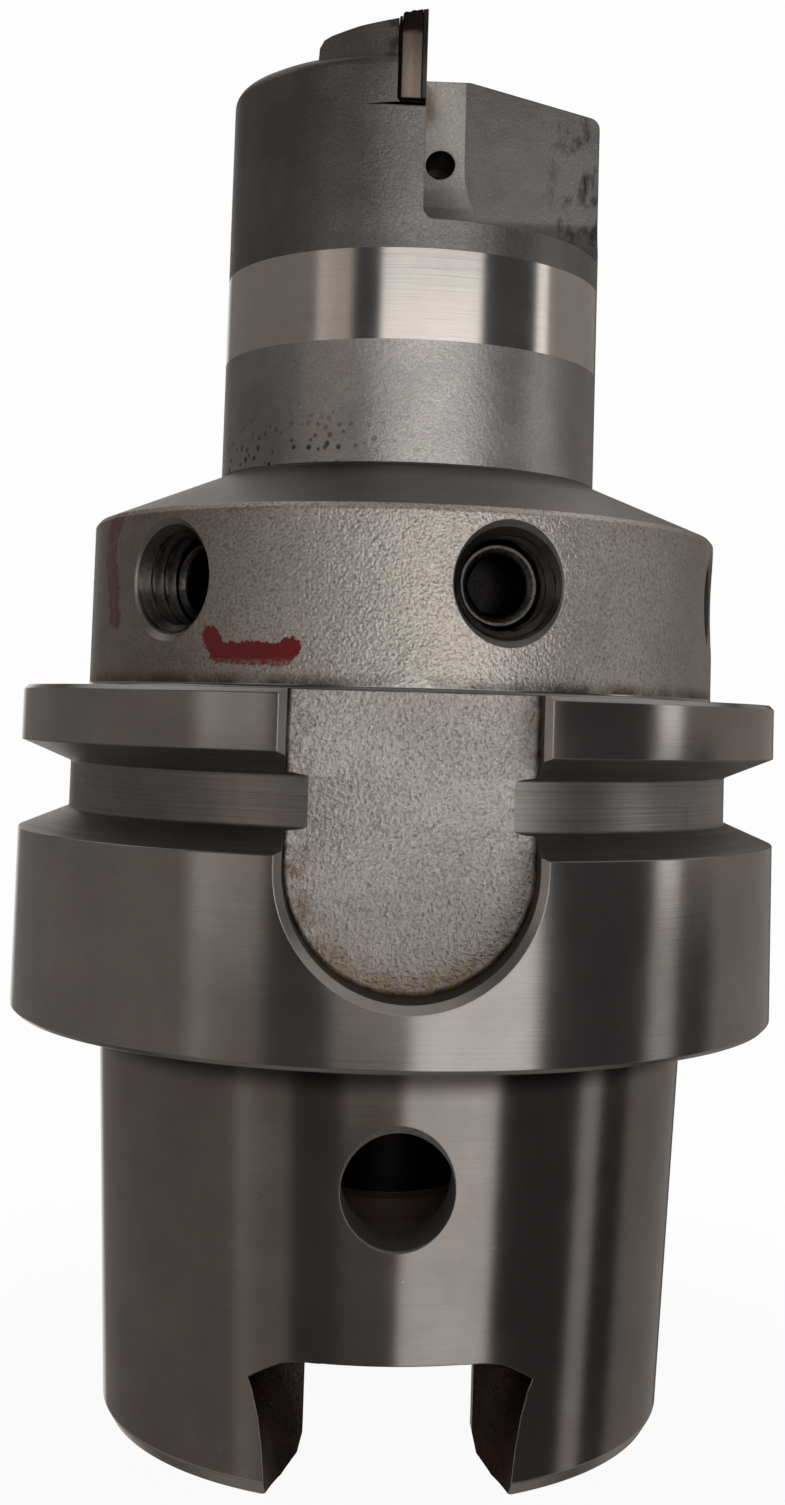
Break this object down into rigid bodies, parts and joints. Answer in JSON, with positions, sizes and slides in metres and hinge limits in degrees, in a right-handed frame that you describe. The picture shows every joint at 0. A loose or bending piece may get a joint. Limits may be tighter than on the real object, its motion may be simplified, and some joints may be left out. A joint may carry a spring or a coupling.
{
  "type": "face mill",
  "caption": "Milling cutter with brazed diamond tips on a slim round head, above a collar with balancing screws, a grooved drive flange and a hollow taper shank.",
  "frame": {"origin": "centre of the shank's end face, the lowest face of the tool; the flange face that seats on the spindle nose is 32 mm above it", "axes": "+Z along the tool axis towards the cutting teeth; the wide drive slot of the flange faces -Y; the front tooth's rake face looks along +X"},
  "size_m": [0.063, 0.063, 0.1121],
  "materials": {
    "tool_steel": "ground on the flange, shank and head band, sandblasted on the head, cone and collar",
    "carbide": "fine ground, tan heat tint",
    "diamond": "black, polished",
    "braze": "dark, oxidised filler",
    "screw_steel": "black oxide",
    "tube_steel": "ground",
    "nut_steel": "black oxide",
    "seal_rubber": "matt"
  },
  "bodies": {
    "body": {"tool_body": "tool_steel", "front_carbide_tip": "carbide", "front_diamond_layer": "diamond", "front_braze_joint": "braze", "rear_carbide_tip": "carbide", "rear_diamond_layer": "diamond", "rear_braze_joint": "braze", "coolant_union_nut": "nut_steel", "union_nut_seal": "seal_rubber"},
    "balance_screw_1": {"balance_screw_1": "screw_steel"},
    "balance_screw_2": {"balance_screw_2": "screw_steel"},
    "balance_screw_3": {"balance_screw_3": "screw_steel"},
    "balance_screw_4": {"balance_screw_4": "screw_steel"},
    "balance_screw_5": {"balance_screw_5": "screw_steel"},
    "balance_screw_6": {"balance_screw_6": "screw_steel"},
    "coolant_tube": {"coolant_tube": "tube_steel", "tube_collar_seal": "seal_rubber"}
  },
  "joints": [
    {"name": "balance_screw_1_travel", "type": "slide", "parent": "body", "child": "balance_screw_1", "axis": [0.7071, 0.7071, 0], "range_m": [-0.00125, 0.0025]},
    {"name": "balance_screw_2_travel", "type": "slide", "parent": "body", "child": "balance_screw_2", "axis": [-0.2588, 0.9659, 0], "range_m": [-0.00125, 0.0025]},
    {"name": "balance_screw_3_travel", "type": "slide", "parent": "body", "child": "balance_screw_3", "axis": [-0.9659, 0.2588, 0], "range_m": [-0.00125, 0.0025]},
    {"name": "balance_screw_4_travel", "type": "slide", "parent": "body", "child": "balance_screw_4", "axis": [-0.7071, -0.7071, 0], "range_m": [-0.0025, 0.0025]},
    {"name": "balance_screw_5_travel", "type": "slide", "parent": "body", "child": "balance_screw_5", "axis": [0.2588, -0.9659, 0], "range_m": [-0.00125, 0.0025]},
    {"name": "balance_screw_6_travel", "type": "slide", "parent": "body", "child": "balance_screw_6", "axis": [0.9659, -0.2588, 0], "range_m": [-0.0025, 0.0025]},
    {"name": "coolant_tube_tilt", "type": "hinge", "parent": "body", "child": "coolant_tube", "pos_m": [0, 0, 0.0404], "axis": [1, 0, 0], "range_deg": [-1, 1]}
  ]
}
